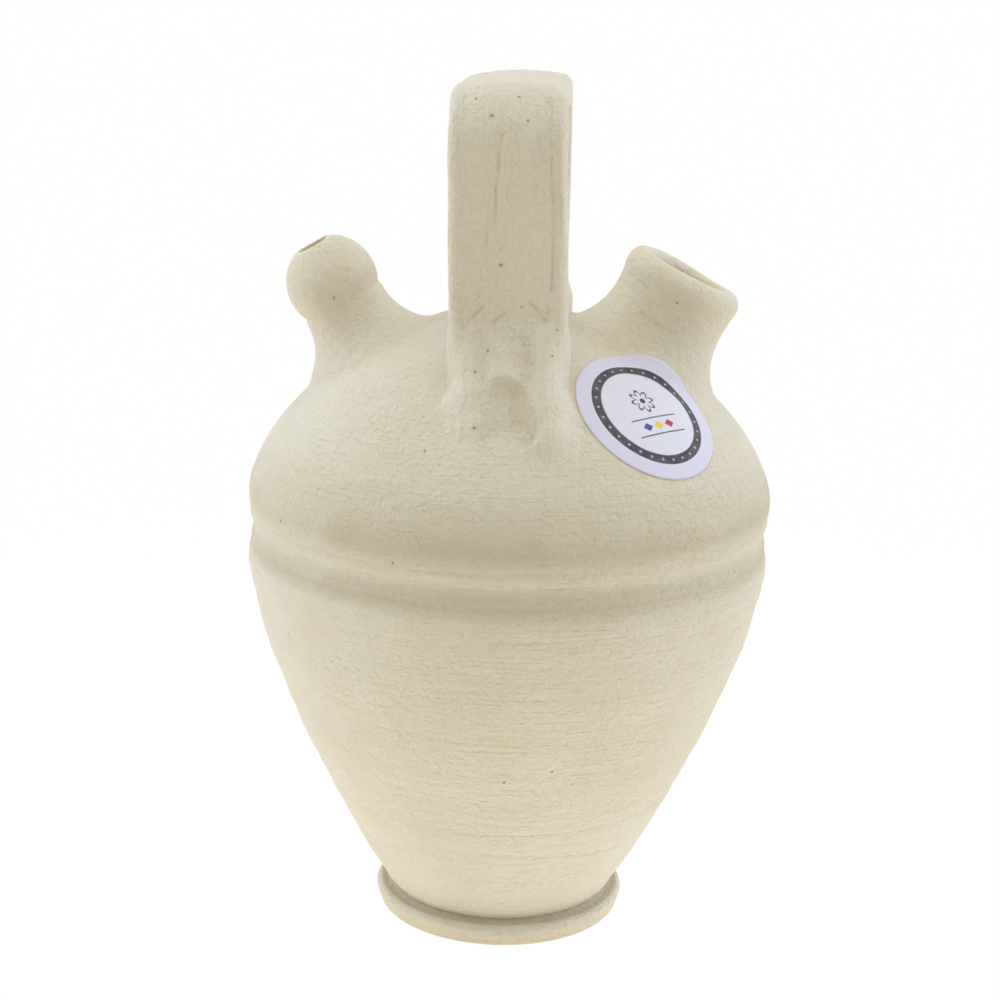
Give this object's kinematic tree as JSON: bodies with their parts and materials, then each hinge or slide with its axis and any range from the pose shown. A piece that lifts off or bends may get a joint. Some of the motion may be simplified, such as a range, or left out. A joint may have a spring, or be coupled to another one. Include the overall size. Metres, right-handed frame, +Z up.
{
  "type": "clay water jug",
  "caption": "Unglazed clay drinking jug with a closed dome, a filling mouth, a bulb-ended pouring spout and a strap handle over the top.",
  "frame": {"origin": "centre of the ring that the jug stands on", "axes": "+Z up, +X towards the filling mouth, +Y towards the back, with the handle running along Y"},
  "size_m": [0.172, 0.172, 0.2813],
  "materials": {
    "clay": "matte unglazed pale cream earthenware",
    "paper_label": "satin printed paper"
  },
  "bodies": {
    "root": {"lower_body": "clay", "upper_body": "clay", "foot_ring": "clay", "pouring_spout": "clay", "filling_mouth": "clay", "handle_strap": "clay", "front_root": "clay", "rear_root": "clay", "label": "paper_label"}
  },
  "joints": []
}
